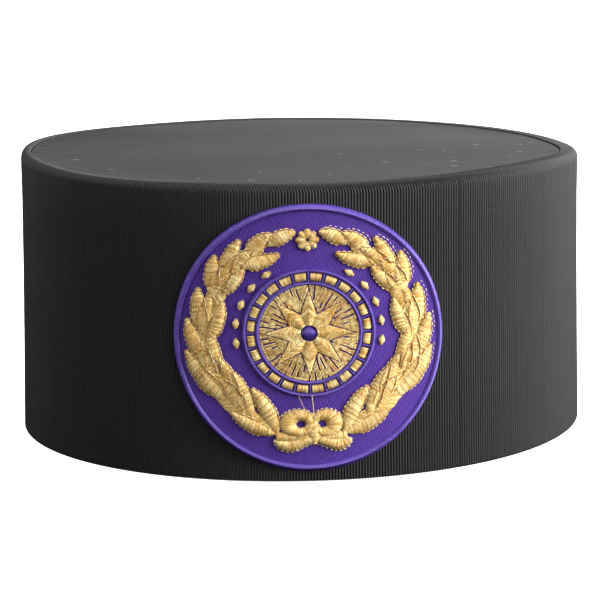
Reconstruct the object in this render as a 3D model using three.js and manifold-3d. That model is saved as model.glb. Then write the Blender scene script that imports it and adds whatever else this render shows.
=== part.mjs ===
import * as THREE from 'three';
import { mergeVertices } from 'three/addons/utils/BufferGeometryUtils.js';
import Module from 'manifold-3d';

// A round crown cap: a stiff upright band of ribbed black cloth, a flat cloth top set just below its
// rounded rim, and a round embroidered patch sewn to the front. Millimetres, +Z up, the front along -Y.
// The origin is on the surface that the hem stands on, on the axis of the crown.

// Crown
const crownRadius = 99.35;
const crownHeight = 96.9;
const bottomFlare = 1.05;
const crownLean = 1.5;
const crownSway = 1.1;
// The rim swells up in three places: middle and reach in degrees from the front to the right, and height.
const rimSwells = [
  { middle: -90, reach: 60, height: 1.7 },
  { middle: -5, reach: 60, height: 1.4 },
  { middle: 52, reach: 55, height: 2.9 },
];
const wallThickness = 2.5;
const hemRadius = 0.6;
const edgeRadius = 2;
const rimWidthLeft = 3.9;
const rimWidthRight = 6.6;
const lipRadius = 0.4;
const seamGap = 0.3;
const panelDrop = 0.4;
const panelThickness = 2.2;
const panelEdgeRadius = 0.4;
const ledgeOverlap = 3;
const ledgeThickness = 1.8;
const crownSides = 64;
const arcSteps = 3;

// Swell of the band between hem and rim: heights as shares of crownHeight, flares as shares of bottomFlare.
const swell = [
  { height: 0, flare: 1 },
  { height: 0.08, flare: 0.9 },
  { height: 0.3, flare: 0.5 },
  { height: 0.6, flare: 0.1 },
  { height: 0.85, flare: -0.1 },
  { height: 1, flare: 0 },
];

// Patch: stiffer than the band, so it curves less and stands off it at both sides.
const patchTopMargin = 4.75;
const patchBottomMargin = 4;
const patchWidth = 89.8;
const patchTurn = 1.75;
const patchUnbend = 21;
const patchClearance = 0.3;
const groundThickness = 1.2;
const borderWidth = 2.4;
const borderThickness = 2;
const patchSides = 48;
const groundRings = 4;

// Rounded back of the border: shares of its width from the inside, and of its thickness.
const borderOutline = [
  { across: 1, rise: 0.6 },
  { across: 0.75, rise: 0.92 },
  { across: 0.5, rise: 1 },
  { across: 0.25, rise: 0.92 },
  { across: 0, rise: 0.6 },
];

// Embroidery: raised above the patch ground. All its places are shares of the patch's half height, which
// the patch's own width then stretches sideways.
const threadClearance = 0.3;
const leafRelief = 0.95;
const stemRelief = 0.7;
const bowRelief = 1;
const blockRelief = 0.6;
const gapRelief = 0.35;
const fieldRelief = 0.4;
const starRelief = 0.9;
const starEdge = 0.4;
const bossRelief = 0.9;
const lozengeRelief = 0.5;
const rosetteRelief = 0.8;

const stemReach = 0.755;
const stemHalfWidth = 0.06;
const stemStart = 20;
const stemEnd = 160;
const stemSteps = 20;

// Leaves of one side of the wreath: angles up the side from the bottom of the patch, in degrees, for the
// base on the stem and for the tip, the tip's reach, and half the leaf's width.
const leaves = [
  { base: 19, tip: 47.5, reach: 0.792, half: 0.05 },
  { base: 18, tip: 50, reach: 0.56, half: 0.056 },
  { base: 38, tip: 66, reach: 0.72, half: 0.06 },
  { base: 33, tip: 70, reach: 0.625, half: 0.05 },
  { base: 51, tip: 85, reach: 0.905, half: 0.066 },
  { base: 44, tip: 80, reach: 0.68, half: 0.05 },
  { base: 73, tip: 100.5, reach: 0.9, half: 0.062 },
  { base: 62, tip: 90, reach: 0.775, half: 0.055 },
  { base: 66, tip: 95, reach: 0.74, half: 0.055 },
  { base: 90, tip: 117, reach: 0.775, half: 0.055 },
  { base: 92, tip: 116.5, reach: 0.884, half: 0.062 },
  { base: 87, tip: 115.5, reach: 0.68, half: 0.052 },
  { base: 115, tip: 134, reach: 0.92, half: 0.056 },
  { base: 113, tip: 138, reach: 0.786, half: 0.062 },
  { base: 124.5, tip: 147.8, reach: 0.89, half: 0.052 },
  { base: 116, tip: 139.5, reach: 0.7, half: 0.05 },
  { base: 126, tip: 151, reach: 0.775, half: 0.05 },
  { base: 144, tip: 162.8, reach: 0.83, half: 0.056 },
  { base: 137, tip: 163.4, reach: 0.67, half: 0.05 },
  { base: 157, tip: 174.5, reach: 0.807, half: 0.05 },
];

// Outline of a leaf: shares of its length against shares of its half width.
const leafOutline = [
  { along: 0, girth: 0 },
  { along: 0.14, girth: 0.62 },
  { along: 0.42, girth: 1 },
  { along: 0.75, girth: 0.72 },
  { along: 1, girth: 0 },
];
const leafSides = 6;
const loopSides = 14;

// Bow at the foot of the wreath: its middle, its two loops and the bends of its two tails.
const bowCentre = { across: 0.02, up: -0.71 };
const bowLoop = { across: 0.085, up: 0.05, outer: 0.118, inner: 0.04, stretch: 0.95 };
const bowTail = [
  { across: 0.03, up: -0.02, half: 0.045 },
  { across: 0.175, up: -0.125, half: 0.05 },
  { across: 0.29, up: -0.07, half: 0.04 },
];
const tailOverlap = 0.3;
const knotHalf = 0.06;
const knotReach = 0.12;

// Rounded back of a bow loop: shares of the ribbon's width from the inside, and of the bow's relief.
const loopOutline = [
  { across: 0.75, rise: 0.8 },
  { across: 0.5, rise: 1 },
  { across: 0.25, rise: 0.8 },
];

// Medallion in the middle: a ring of blocks round a rayed field, with an eight-pointed star and a boss.
const medallionUp = 0.045;
const ringOuter = 0.455;
const ringInner = 0.385;
const blockCount = 24;
const stepsPerBlock = 4;
const fieldOuter = 0.36;
const starPoints = 8;
const starOuter = 0.315;
const starInner = 0.15;
const starHole = 0.062;
const bossRadius = 0.05;
const bossShoulder = { across: 0.7, rise: 0.8 };
const fieldGap = 0.02;

// Lozenges beside the medallion and the rosette above it.
const lozengeCount = 5;
const lozengeReach = 0.53;
const lozengeFirst = 82;
const lozengeLast = 146;
const lozengeLong = 0.046;
const lozengeShort = 0.026;
const rosetteUp = 0.74;
const rosettePetals = 8;
const rosetteOuter = 0.085;
const rosetteInner = 0.062;

const wasm = await Module();
wasm.setup();

const radians = THREE.MathUtils.degToRad;

// Places and sizes that follow from the values above.
const panelRadius = crownRadius - (rimWidthLeft + rimWidthRight) / 2;
const panelShift = (rimWidthLeft - rimWidthRight) / 2;
const panelTop = crownHeight - panelDrop;
const ledgeTop = panelTop - panelThickness - seamGap;
const patchHeight = crownHeight - patchTopMargin - patchBottomMargin;
const patchCentre = patchBottomMargin + patchHeight / 2;
const patchRadius = patchHeight / 2;
const patchStretch = patchWidth / patchHeight;
const patchBend = crownRadius + patchUnbend;
const groundRadius = patchRadius - borderWidth - threadClearance;
const threadBase = groundThickness + threadClearance;

// Radius of the outer face of the band at a height above the hem.
function bandRadius(z) {
  const share = THREE.MathUtils.clamp(z / crownHeight, 0, 1);
  const upper = Math.max(1, swell.findIndex((row) => row.height >= share));
  const low = swell[upper - 1];
  const high = swell[upper];
  const between = (share - low.height) / (high.height - low.height);
  return crownRadius + bottomFlare * THREE.MathUtils.lerp(low.flare, high.flare, between);
}

// Points of a quarter round in a profile, from one angle to another, in degrees.
function quarterRound(r, z, radius, from, to) {
  const points = [];
  for (let step = 0; step <= arcSteps; step += 1) {
    const angle = radians(from + ((to - from) * step) / arcSteps);
    points.push({ r: r + radius * Math.cos(angle), z: z + radius * Math.sin(angle) });
  }
  return points;
}

// A profile turned round the Z axis. It starts and ends on the axis, or closes on itself.
function turned(profile, sides) {
  const points = profile.map((point) => new THREE.Vector2(point.r, point.z));
  const geometry = new THREE.LatheGeometry(points, sides);
  geometry.rotateX(Math.PI / 2);
  return geometry;
}

function reshaped(geometry, move) {
  const position = geometry.attributes.position;
  const point = new THREE.Vector3();
  for (let index = 0; index < position.count; index += 1) {
    point.fromBufferAttribute(position, index);
    move(point, index);
    position.setXYZ(index, point.x, point.y, point.z);
  }
  return geometry;
}

// The same surface with shared vertices merged and triangles of no area left out.
function sealed(geometry) {
  geometry.deleteAttribute('normal');
  geometry.deleteAttribute('uv');
  const merged = mergeVertices(geometry, 1e-4);
  const corners = merged.index.array;
  const kept = [];
  for (let index = 0; index < corners.length; index += 3) {
    const [a, b, c] = corners.slice(index, index + 3);
    if (a !== b && b !== c && c !== a) {
      kept.push(a, b, c);
    }
  }
  merged.setIndex(kept);
  return merged;
}

function solidOf(geometry) {
  const closed = sealed(geometry);
  return new wasm.Manifold(new wasm.Mesh({
    numProp: 3,
    vertProperties: Float32Array.from(closed.attributes.position.array),
    triVerts: Uint32Array.from(closed.index.array),
  }));
}

function joined(geometries) {
  const whole = geometries.map(solidOf).reduce((sum, solid) => sum.add(solid));
  const mesh = whole.getMesh();
  const geometry = new THREE.BufferGeometry();
  geometry.setAttribute('position', new THREE.BufferAttribute(mesh.vertProperties, 3));
  geometry.setIndex(Array.from(mesh.triVerts));
  return geometry;
}

function piece(name, geometry, material) {
  const closed = sealed(geometry);
  closed.computeVertexNormals();
  const mesh = new THREE.Mesh(closed, material);
  mesh.name = name;
  return mesh;
}

// The crown isn't quite true: the higher a point is, the more it sways to the right, and the more it
// rises on the left and sinks on the right.
function lean(point) {
  point.x += (crownSway * point.z) / crownHeight;
  point.z *= 1 - (crownLean * point.x) / (crownRadius * crownHeight);
}

// The rim swells up in places, above the ledge that the top rests on.
function liftRim(point) {
  const turn = THREE.MathUtils.radToDeg(Math.atan2(point.x, -point.y));
  const aboveLedge = THREE.MathUtils.clamp((point.z - ledgeTop) / (crownHeight - ledgeTop), 0, 1);
  for (const { middle, reach, height } of rimSwells) {
    const away = THREE.MathUtils.clamp((turn - middle) / reach, -1, 1);
    point.z += height * Math.cos(away * Math.PI / 2) ** 2 * aboveLedge;
  }
}

// The band: hem, outer wall, rolled edge, rim, lip, the ledge under the top, and the inner wall.
function sideBandGeometry() {
  const innerRadius = (z) => bandRadius(z) - wallThickness;
  const hemInner = innerRadius(0);
  const hemOuter = bandRadius(0);
  const edgeHeight = crownHeight - edgeRadius;
  const lipInner = panelRadius + seamGap;
  const ledgeInner = panelRadius - ledgeOverlap;
  const ledgeBottom = ledgeTop - ledgeThickness;
  const walls = swell.map((row) => row.height * crownHeight);
  const rising = walls.filter((z) => z > hemRadius && z < edgeHeight);
  const falling = walls.filter((z) => z > hemRadius && z < ledgeBottom).reverse();
  const fixed = (point) => ({ ...point, shift: 0 });
  const shifted = (point) => ({ ...point, shift: panelShift });
  const profile = [
    { r: hemInner + hemRadius, z: 0 },
    { r: hemOuter - hemRadius, z: 0 },
    { r: bandRadius(hemRadius), z: hemRadius },
    ...rising.map((z) => ({ r: bandRadius(z), z })),
    ...quarterRound(bandRadius(edgeHeight) - edgeRadius, edgeHeight, edgeRadius, 0, 90),
  ].map(fixed);
  profile.push(
    ...quarterRound(lipInner + lipRadius, crownHeight - lipRadius, lipRadius, 90, 180).map(shifted),
    shifted({ r: lipInner, z: ledgeTop }),
    shifted({ r: ledgeInner, z: ledgeTop }),
    shifted({ r: ledgeInner, z: ledgeBottom }),
    fixed({ r: innerRadius(ledgeBottom), z: ledgeBottom }),
    ...falling.map((z) => fixed({ r: innerRadius(z), z })),
    fixed({ r: innerRadius(hemRadius), z: hemRadius }),
    fixed({ r: hemInner + hemRadius, z: 0 }),
  );
  return reshaped(turned(profile, crownSides), (point, index) => {
    point.x += profile[index % profile.length].shift;
    liftRim(point);
    lean(point);
  });
}

function topPanelGeometry() {
  const bottom = panelTop - panelThickness;
  const profile = [
    { r: 0, z: bottom },
    { r: panelRadius, z: bottom },
    ...quarterRound(panelRadius - panelEdgeRadius, panelTop - panelEdgeRadius, panelEdgeRadius, 0, 90),
    { r: 0, z: panelTop },
  ];
  return reshaped(turned(profile, crownSides), (point) => {
    point.x += panelShift;
    lean(point);
  });
}

// Lays a flat shape onto the patch: x and y along it, z out of it, from the face that meets the band.
function bent(geometry) {
  return reshaped(geometry, (point) => {
    const radius = patchBend + point.z;
    const angle = (point.x * patchStretch) / patchBend;
    const height = point.y;
    const standOff = bandRadius(patchCentre + height) + patchClearance - patchBend;
    point.set(radius * Math.sin(angle), -(standOff + radius * Math.cos(angle)), height);
  });
}

function groundGeometry() {
  const profile = [{ r: 0, z: 0 }];
  for (let ring = 1; ring <= groundRings; ring += 1) {
    profile.push({ r: (groundRadius * ring) / groundRings, z: 0 });
  }
  for (let ring = groundRings; ring >= 0; ring -= 1) {
    profile.push({ r: (groundRadius * ring) / groundRings, z: groundThickness });
  }
  return bent(turned(profile, patchSides));
}

// Profile of a flat ring with a rounded back.
function ringProfile(inner, outer, height, outline) {
  const back = outline.map((row) => ({ r: inner + (outer - inner) * row.across, z: height * row.rise }));
  return [{ r: inner, z: 0 }, { r: outer, z: 0 }, ...back, { r: inner, z: 0 }];
}

function borderGeometry() {
  const profile = ringProfile(patchRadius - borderWidth, patchRadius, borderThickness, borderOutline);
  return bent(turned(profile, patchSides));
}

// A place on the patch by its angle up the side from the bottom and its share of the patch's radius.
function polar(side, degrees, reach) {
  const angle = radians(degrees);
  return new THREE.Vector2(side * Math.sin(angle), -Math.cos(angle)).multiplyScalar(reach * patchRadius);
}

// A padded spindle that lies on the ground between two places, flat below and rounded above.
function spindle(start, end, half, relief) {
  const length = start.distanceTo(end);
  const along = end.clone().sub(start).normalize();
  const girth = half * patchRadius;
  const profile = leafOutline.map((row) => new THREE.Vector2(row.girth * girth, row.along * length));
  const geometry = new THREE.LatheGeometry(profile, leafSides);
  return reshaped(geometry, (point) => {
    const across = point.x;
    const forward = point.y;
    const rise = Math.max(0, point.z / girth) * relief;
    point.x = start.x + along.x * forward + along.y * across;
    point.y = start.y + along.y * forward - along.x * across;
    point.z = threadBase + rise;
  });
}

function stemGeometry(side) {
  const points = [];
  for (let step = 0; step <= stemSteps; step += 1) {
    const place = polar(side, stemStart + ((stemEnd - stemStart) * step) / stemSteps, stemReach);
    points.push(new THREE.Vector3(place.x, place.y, 0));
  }
  const half = stemHalfWidth * patchRadius;
  const section = new THREE.Shape().absarc(0, 0, half, 0, 2 * Math.PI);
  const geometry = new THREE.ExtrudeGeometry(section, {
    steps: stemSteps,
    curveSegments: leafSides,
    extrudePath: new THREE.CatmullRomCurve3(points),
  });
  return reshaped(geometry, (point) => {
    point.z = threadBase + Math.max(0, point.z / half) * stemRelief;
  });
}

function wreathGeometry(side) {
  const parts = leaves.map((leaf) => spindle(
    polar(side, leaf.base, stemReach),
    polar(side, leaf.tip, leaf.reach),
    leaf.half,
    leafRelief,
  ));
  return bent(joined([stemGeometry(side), ...parts]));
}

function bowGeometry() {
  const place = (side, row) => new THREE.Vector2(
    (bowCentre.across + side * row.across) * patchRadius,
    (bowCentre.up + row.up) * patchRadius,
  );
  const parts = [];
  for (const side of [-1, 1]) {
    const middle = place(side, bowLoop);
    const inner = bowLoop.inner * patchRadius;
    const outer = bowLoop.outer * patchRadius;
    const profile = ringProfile(inner, outer, bowRelief, loopOutline);
    parts.push(reshaped(turned(profile, loopSides), (point) => {
      point.x += middle.x;
      point.y = point.y * bowLoop.stretch + middle.y;
      point.z += threadBase;
    }));
    for (let row = 1; row < bowTail.length; row += 1) {
      const start = place(side, bowTail[row - 1]);
      const end = place(side, bowTail[row]);
      const overlap = end.clone().sub(start).multiplyScalar(tailOverlap);
      parts.push(spindle(start.sub(overlap), end.add(overlap), bowTail[row].half, bowRelief));
    }
  }
  const knot = place(0, { across: 0, up: 0 });
  const reach = new THREE.Vector2(0, knotReach * patchRadius);
  parts.push(spindle(knot.clone().sub(reach), knot.clone().add(reach), knotHalf, bowRelief));
  return bent(joined(parts));
}

// A ring of raised blocks with sunken gaps between them.
function ringBandGeometry() {
  const outer = ringOuter * patchRadius;
  const inner = ringInner * patchRadius;
  const profile = [
    { r: inner, z: 0 },
    { r: outer, z: 0 },
    { r: outer, z: 1 },
    { r: inner, z: 1 },
    { r: inner, z: 0 },
  ];
  return bent(reshaped(turned(profile, blockCount * stepsPerBlock), (point, index) => {
    const step = Math.floor(index / profile.length) % stepsPerBlock;
    const relief = step === 0 ? gapRelief : blockRelief;
    point.y += medallionUp * patchRadius;
    point.z = threadBase + point.z * relief;
  }));
}

// Corners of a star with a point straight up.
function starCorners(points, outer, inner) {
  const corners = [];
  for (let corner = 0; corner < 2 * points; corner += 1) {
    const radius = (corner % 2 === 0 ? outer : inner) * patchRadius;
    const angle = (Math.PI * corner) / points;
    corners.push(new THREE.Vector2(radius * Math.sin(angle), radius * Math.cos(angle)));
  }
  return corners;
}

// The rayed field: a disc that leaves room for the star.
function rayFieldGeometry() {
  const shape = new THREE.Shape().absarc(0, 0, fieldOuter * patchRadius, 0, 2 * Math.PI);
  shape.holes.push(new THREE.Path(starCorners(starPoints, starOuter + fieldGap, starInner + fieldGap)));
  const geometry = new THREE.ExtrudeGeometry(shape, {
    depth: fieldRelief,
    bevelEnabled: false,
    curveSegments: patchSides / 2,
  });
  geometry.translate(0, medallionUp * patchRadius, threadBase);
  return bent(geometry);
}

// A faceted star or flower: a low ridge runs out to each point.
function facetedStar(points, outer, inner, hole, edge, relief) {
  const profile = [
    { r: hole, z: 0 },
    { r: outer, z: 0 },
    { r: outer, z: edge },
    { r: hole, z: relief },
    { r: hole, z: 0 },
  ];
  const geometry = turned(profile, 2 * points);
  return reshaped(geometry, (point, index) => {
    const valley = Math.floor(index / profile.length) % 2 === 1;
    const rim = [1, 2].includes(index % profile.length);
    if (valley && rim) {
      point.x *= inner / outer;
      point.y *= inner / outer;
    }
    point.x *= patchRadius;
    point.y *= patchRadius;
    point.z += threadBase;
  });
}

function starGeometry() {
  const geometry = facetedStar(starPoints, starOuter, starInner, starHole, starEdge, starRelief);
  geometry.translate(0, medallionUp * patchRadius, 0);
  return bent(geometry);
}

function bossGeometry() {
  const profile = [
    { r: 0, z: 0 },
    { r: bossRadius, z: 0 },
    { r: bossRadius * bossShoulder.across, z: bossRelief * bossShoulder.rise },
    { r: 0, z: bossRelief },
  ];
  const geometry = turned(profile, 2 * starPoints);
  geometry.scale(patchRadius, patchRadius, 1);
  geometry.translate(0, medallionUp * patchRadius, threadBase);
  return bent(geometry);
}

function rosetteGeometry() {
  const geometry = facetedStar(rosettePetals, rosetteOuter, rosetteInner, 0, starEdge, rosetteRelief);
  geometry.translate(0, rosetteUp * patchRadius, 0);
  return bent(geometry);
}

// A small diamond that points along the ring.
function lozengeGeometry(side, degrees) {
  const long = lozengeLong * patchRadius;
  const short = lozengeShort * patchRadius;
  const shape = new THREE.Shape([
    new THREE.Vector2(long, 0),
    new THREE.Vector2(0, short),
    new THREE.Vector2(-long, 0),
    new THREE.Vector2(0, -short),
  ]);
  const geometry = new THREE.ExtrudeGeometry(shape, { depth: lozengeRelief, bevelEnabled: false });
  const place = polar(side, degrees, lozengeReach);
  geometry.rotateZ(Math.atan2(place.x, -place.y));
  geometry.translate(place.x, place.y + medallionUp * patchRadius, threadBase);
  return bent(geometry);
}

function cloth(color, roughness) {
  return new THREE.MeshStandardMaterial({ color, roughness, metalness: 0 });
}

const ribbedBlack = cloth(0x1c1c1d, 0.7);
const plainBlack = cloth(0x3a3a3c, 0.6);
const purpleTwill = cloth(0x4a2b8c, 0.75);
const purpleThread = cloth(0x6a49cf, 0.5);
const goldThread = cloth(0xcfa255, 0.42);

const cap = new THREE.Group();
cap.add(piece('side_band', sideBandGeometry(), ribbedBlack));
cap.add(piece('top_panel', topPanelGeometry(), plainBlack));

const patch = new THREE.Group();
patch.position.z = patchCentre;
patch.rotation.z = radians(patchTurn);
patch.add(piece('patch_ground', groundGeometry(), purpleTwill));
patch.add(piece('patch_border', borderGeometry(), purpleThread));
patch.add(piece('wreath_left', wreathGeometry(-1), goldThread));
patch.add(piece('wreath_right', wreathGeometry(1), goldThread));
patch.add(piece('wreath_bow', bowGeometry(), goldThread));
patch.add(piece('ring_band', ringBandGeometry(), goldThread));
patch.add(piece('ray_field', rayFieldGeometry(), goldThread));
patch.add(piece('star', starGeometry(), goldThread));
patch.add(piece('star_boss', bossGeometry(), purpleThread));
patch.add(piece('top_rosette', rosetteGeometry(), goldThread));
for (let number = 1; number <= lozengeCount; number += 1) {
  const share = (number - 1) / (lozengeCount - 1);
  const degrees = lozengeFirst + (lozengeLast - lozengeFirst) * share;
  patch.add(piece(`lozenge_left_${number}`, lozengeGeometry(-1, degrees), goldThread));
  patch.add(piece(`lozenge_right_${number}`, lozengeGeometry(1, degrees), goldThread));
}
cap.add(patch);

export default cap;
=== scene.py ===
import math
import random

import bpy
import numpy as np
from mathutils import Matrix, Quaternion, Vector


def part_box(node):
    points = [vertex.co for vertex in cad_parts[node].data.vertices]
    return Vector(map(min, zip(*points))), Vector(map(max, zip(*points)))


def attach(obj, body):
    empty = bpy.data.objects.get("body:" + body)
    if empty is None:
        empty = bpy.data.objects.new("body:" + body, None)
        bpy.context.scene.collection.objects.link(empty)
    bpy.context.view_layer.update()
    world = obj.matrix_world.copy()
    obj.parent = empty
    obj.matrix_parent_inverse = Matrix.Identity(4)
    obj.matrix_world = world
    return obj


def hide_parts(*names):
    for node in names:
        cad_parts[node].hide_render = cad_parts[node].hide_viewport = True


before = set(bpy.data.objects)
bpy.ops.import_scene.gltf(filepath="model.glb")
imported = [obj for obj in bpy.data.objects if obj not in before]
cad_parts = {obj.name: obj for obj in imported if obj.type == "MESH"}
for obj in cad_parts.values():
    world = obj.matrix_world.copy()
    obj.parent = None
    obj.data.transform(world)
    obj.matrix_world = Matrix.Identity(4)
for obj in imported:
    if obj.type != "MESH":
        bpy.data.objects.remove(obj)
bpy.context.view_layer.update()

# Camera and studio. The camera looks at the front from a little above, from about a metre away, and
# leans to one side by a degree, as in the photograph. Soft light comes from above and behind and from
# the right, over a pale floor.
camera_aim = Vector((0.0005, 0, 0.049))
camera_distance = 0.9708
camera_elevation = math.radians(10.28)
camera_roll = math.radians(-1.126)
camera_lens = 161.0
camera_sensor = 36
camera_shift = -0.03205
studio_glow = 0.02

towards_camera = Vector((0, -math.cos(camera_elevation), math.sin(camera_elevation)))
bpy.ops.object.camera_add()
camera = bpy.context.object
camera.location = camera_aim + camera_distance * towards_camera
camera.rotation_mode = "QUATERNION"
camera.rotation_quaternion = towards_camera.to_track_quat("Z", "Y") @ Quaternion((0, 0, 1), camera_roll)
camera.data.sensor_width = camera_sensor
camera.data.lens = camera_lens
camera.data.shift_y = camera_shift
bpy.context.scene.camera = camera
bpy.context.scene.view_settings.view_transform = "Standard"


def soft_light(place, width, height, power):
    """Hang a soft box that faces the cap."""
    bpy.ops.object.light_add(type="AREA", location=place)
    light = bpy.context.object
    light.rotation_euler = (Vector(place) - camera_aim).to_track_quat("Z", "Y").to_euler()
    light.data.shape = "RECTANGLE"
    light.data.size = width
    light.data.size_y = height
    light.data.energy = power


soft_light((0.5, 2.4, 0.7), width=1.6, height=0.8, power=22)
soft_light((0.35, 0.75, 0.24), width=0.9, height=0.25, power=0.9)
soft_light((1.4, -0.62, 0.55), width=1.1, height=1.1, power=66)
soft_light((1.4, 0.5, 0.5), width=1.3, height=1.1, power=26)
soft_light((0.5, -1.6, 0.5), width=0.8, height=0.8, power=7)
soft_light((-1.5, -0.4, 0.8), width=0.6, height=1.0, power=17)
soft_light((-1.3, 0.7, 0.5), width=0.6, height=1.0, power=3)
soft_light((0.1, -0.2, 1.7), width=1.6, height=1.6, power=26)

world = bpy.data.worlds.new("studio")
world.use_nodes = True
background = world.node_tree.nodes["Background"]
background.inputs["Color"].default_value = (1, 1, 1, 1)
background.inputs["Strength"].default_value = studio_glow
bpy.context.scene.world = world


class Socket:
    """A node's output that takes part in sums, so that shader maths reads as plain arithmetic."""

    def __init__(self, paint, output):
        self.paint = paint
        self.output = output

    def sum(self, operation, first, second):
        settings = {"operation": operation}
        return self.paint.node("ShaderNodeMath", settings, {0: first, 1: second})

    def __add__(self, other):
        return self.sum("ADD", self, other)

    def __sub__(self, other):
        return self.sum("SUBTRACT", self, other)

    def __rsub__(self, other):
        return self.sum("SUBTRACT", other, self)

    def __mul__(self, other):
        return self.sum("MULTIPLY", self, other)

    __radd__ = __add__
    __rmul__ = __mul__


class Paint:
    """A material on one Principled shader, whose nodes are added by their type, settings and inputs."""

    def __init__(self, name):
        self.material = bpy.data.materials.new(name)
        self.material.use_nodes = True
        self.tree = self.material.node_tree
        self.shader = self.tree.nodes["Principled BSDF"]

    def put(self, node, key, value):
        if isinstance(value, Socket):
            self.tree.links.new(value.output, node.inputs[key])
        else:
            node.inputs[key].default_value = value

    def node(self, kind, settings=None, inputs=None, output=0):
        made = self.tree.nodes.new(kind)
        for name, value in (settings or {}).items():
            setattr(made, name, value)
        for key, value in (inputs or {}).items():
            self.put(made, key, value)
        return Socket(self, made.outputs[output])

    def noise(self, scale, detail=3.0, turn=(0, 0, 0)):
        """Noise that keeps its place on the piece, and is finer along an axis with a larger scale."""
        place = self.node("ShaderNodeTexCoord", output="Object")
        grain = self.node("ShaderNodeMapping", None, {0: place, "Scale": scale, "Rotation": turn})
        return self.node("ShaderNodeTexNoise", None, {"Vector": grain, "Scale": 1.0, "Detail": detail})

    def attribute(self, name):
        return self.node("ShaderNodeAttribute", {"attribute_name": name}, output=2)

    def blend(self, factor, first, second):
        inputs = {0: factor, 6: first, 7: second}
        return self.node("ShaderNodeMix", {"data_type": "RGBA"}, inputs, output=2)

    def bump(self, height, distance):
        return self.node("ShaderNodeBump", None, {"Height": height, "Distance": distance, "Strength": 1.0})

    def finish(self, **inputs):
        for key, value in inputs.items():
            self.put(self.shader, key.replace("_", " "), value)
        return self.material


floor_size = 30
floor_glow = 1.0
bpy.ops.mesh.primitive_plane_add(size=floor_size)
floor = bpy.context.object
floor.name = "floor"
pale = Paint("pale_floor")
floor.data.materials.append(pale.finish(
    Base_Color=(0.95, 0.95, 0.95, 1),
    Roughness=0.9,
    Emission_Color=(1, 1, 1, 1),
    Emission_Strength=floor_glow,
))
floor.visible_diffuse = False
floor.visible_glossy = False

# Ribbed band. One strip of black grosgrain runs round a stiff wall: turned up inside at the hem, rolled
# over the rim, which swells up in three places, and down into the seam with the top. Its ribs stand
# upright and comb over to the left as they cross the rolled edge.
band_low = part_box("side_band")[0]
crown_height = 0.0969
crown_lean = 0.0015
crown_sway = 0.0011
rim_swells = [(-90, 60, 0.0017), (-5, 60, 0.0014), (52, 55, 0.0029)]
hem_flare = 0.00105
crown_radius = -band_low.x - hem_flare
wall_middle = 0.044
wall_thickness = 0.0025
hem_round = 0.0006
hem_flat = 0.004
edge_round = 0.002
edge_roll = 0.0019
rim_left = 0.0039
rim_right = 0.0066
lip_round = 0.0004
seam_gap = 0.0003
panel_drop = 0.0004
panel_thickness = 0.0022
panel_radius = crown_radius - (rim_left + rim_right) / 2
panel_shift = (rim_left - rim_right) / 2
seat_height = crown_height - panel_drop - panel_thickness - seam_gap
cloth_thickness = 0.0008
hem_turn = 0.012
rib_count = 635
rib_depth = 0.00034
groove_shoulder = 0.35
rolled_rib_share = 0.35
rib_wander = 0.015
rib_comb = math.radians(1.5)
steps_per_rib = 4
back_seam_depth = 0.0004
back_seam_width = 0.0006
belly_heights = [0, 0.08, 0.3, 0.6, 0.85, 1]
belly_flares = [1, 0.9, 0.5, 0.1, -0.1, 0]
weld = 0.00001


def band_radius(height):
    share = np.clip(height / crown_height, 0, 1)
    return crown_radius + hem_flare * np.interp(share, belly_heights, belly_flares)


def quarter(radius, height, size, start, end, steps):
    """Points of a rounded corner in an outline, from one angle to another in degrees."""
    angles = [math.radians(start + (end - start) * step / steps) for step in range(steps + 1)]
    return [(radius + size * math.cos(angle), height + size * math.sin(angle)) for angle in angles]


def deselect():
    if bpy.context.object and bpy.context.object.mode == "EDIT":
        bpy.ops.object.mode_set(mode="OBJECT")
    bpy.ops.object.select_all(action="DESELECT")


def choose(piece):
    """Select one piece alone and make it the active one."""
    deselect()
    piece.select_set(True)
    bpy.context.view_layer.objects.active = piece


def read_points(piece):
    places = np.zeros(len(piece.data.vertices) * 3)
    piece.data.vertices.foreach_get("co", places)
    return places.reshape(-1, 3)


def move_points(piece, moved):
    piece.data.vertices.foreach_set("co", moved.ravel())
    piece.data.update()


def pick(piece, test):
    """Select the points of a piece that pass a test on their places, and leave it in edit mode."""
    bpy.ops.object.mode_set(mode="EDIT")
    bpy.ops.mesh.select_mode(type="VERT")
    bpy.ops.mesh.select_all(action="DESELECT")
    bpy.ops.object.mode_set(mode="OBJECT")
    piece.data.vertices.foreach_set("select", test(read_points(piece)))
    bpy.ops.object.mode_set(mode="EDIT")


def draw_outline(name, outline):
    """Start from one point and pull it along an outline of radius and height, in the XZ plane."""
    deselect()
    bpy.ops.mesh.primitive_plane_add(size=0.0001)
    piece = bpy.context.object
    piece.name = name
    bpy.ops.object.mode_set(mode="EDIT")
    bpy.ops.mesh.merge(type="CENTER")
    here = Vector((0, 0, 0))
    for number, (radius, height) in enumerate(outline):
        there = Vector((radius, 0, height))
        if number == 0:
            bpy.ops.transform.translate(value=there - here)
        else:
            bpy.ops.mesh.extrude_region_move(TRANSFORM_OT_translate={"value": there - here})
        here = there
    bpy.ops.mesh.select_all(action="SELECT")
    return piece


def spin_round(steps, angle=2 * math.pi):
    """Spin the outline that is being edited round the axis of the cap, and close its skin."""
    bpy.ops.mesh.spin(steps=steps, angle=angle, center=(0, 0, 0), axis=(0, 0, 1))
    bpy.ops.mesh.select_all(action="SELECT")
    bpy.ops.mesh.remove_doubles(threshold=weld)
    bpy.ops.mesh.normals_make_consistent(inside=False)
    bpy.ops.object.mode_set(mode="OBJECT")


def rim_rise(x, y):
    """How far the rim rises at a place. Each swell has a middle, a reach to both sides and a height."""
    turn = np.degrees(np.arctan2(x, -y))
    return sum(
        height * np.cos(np.clip((turn - middle) / reach, -1, 1) * math.pi / 2) ** 2
        for middle, reach, height in rim_swells
    )


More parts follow.
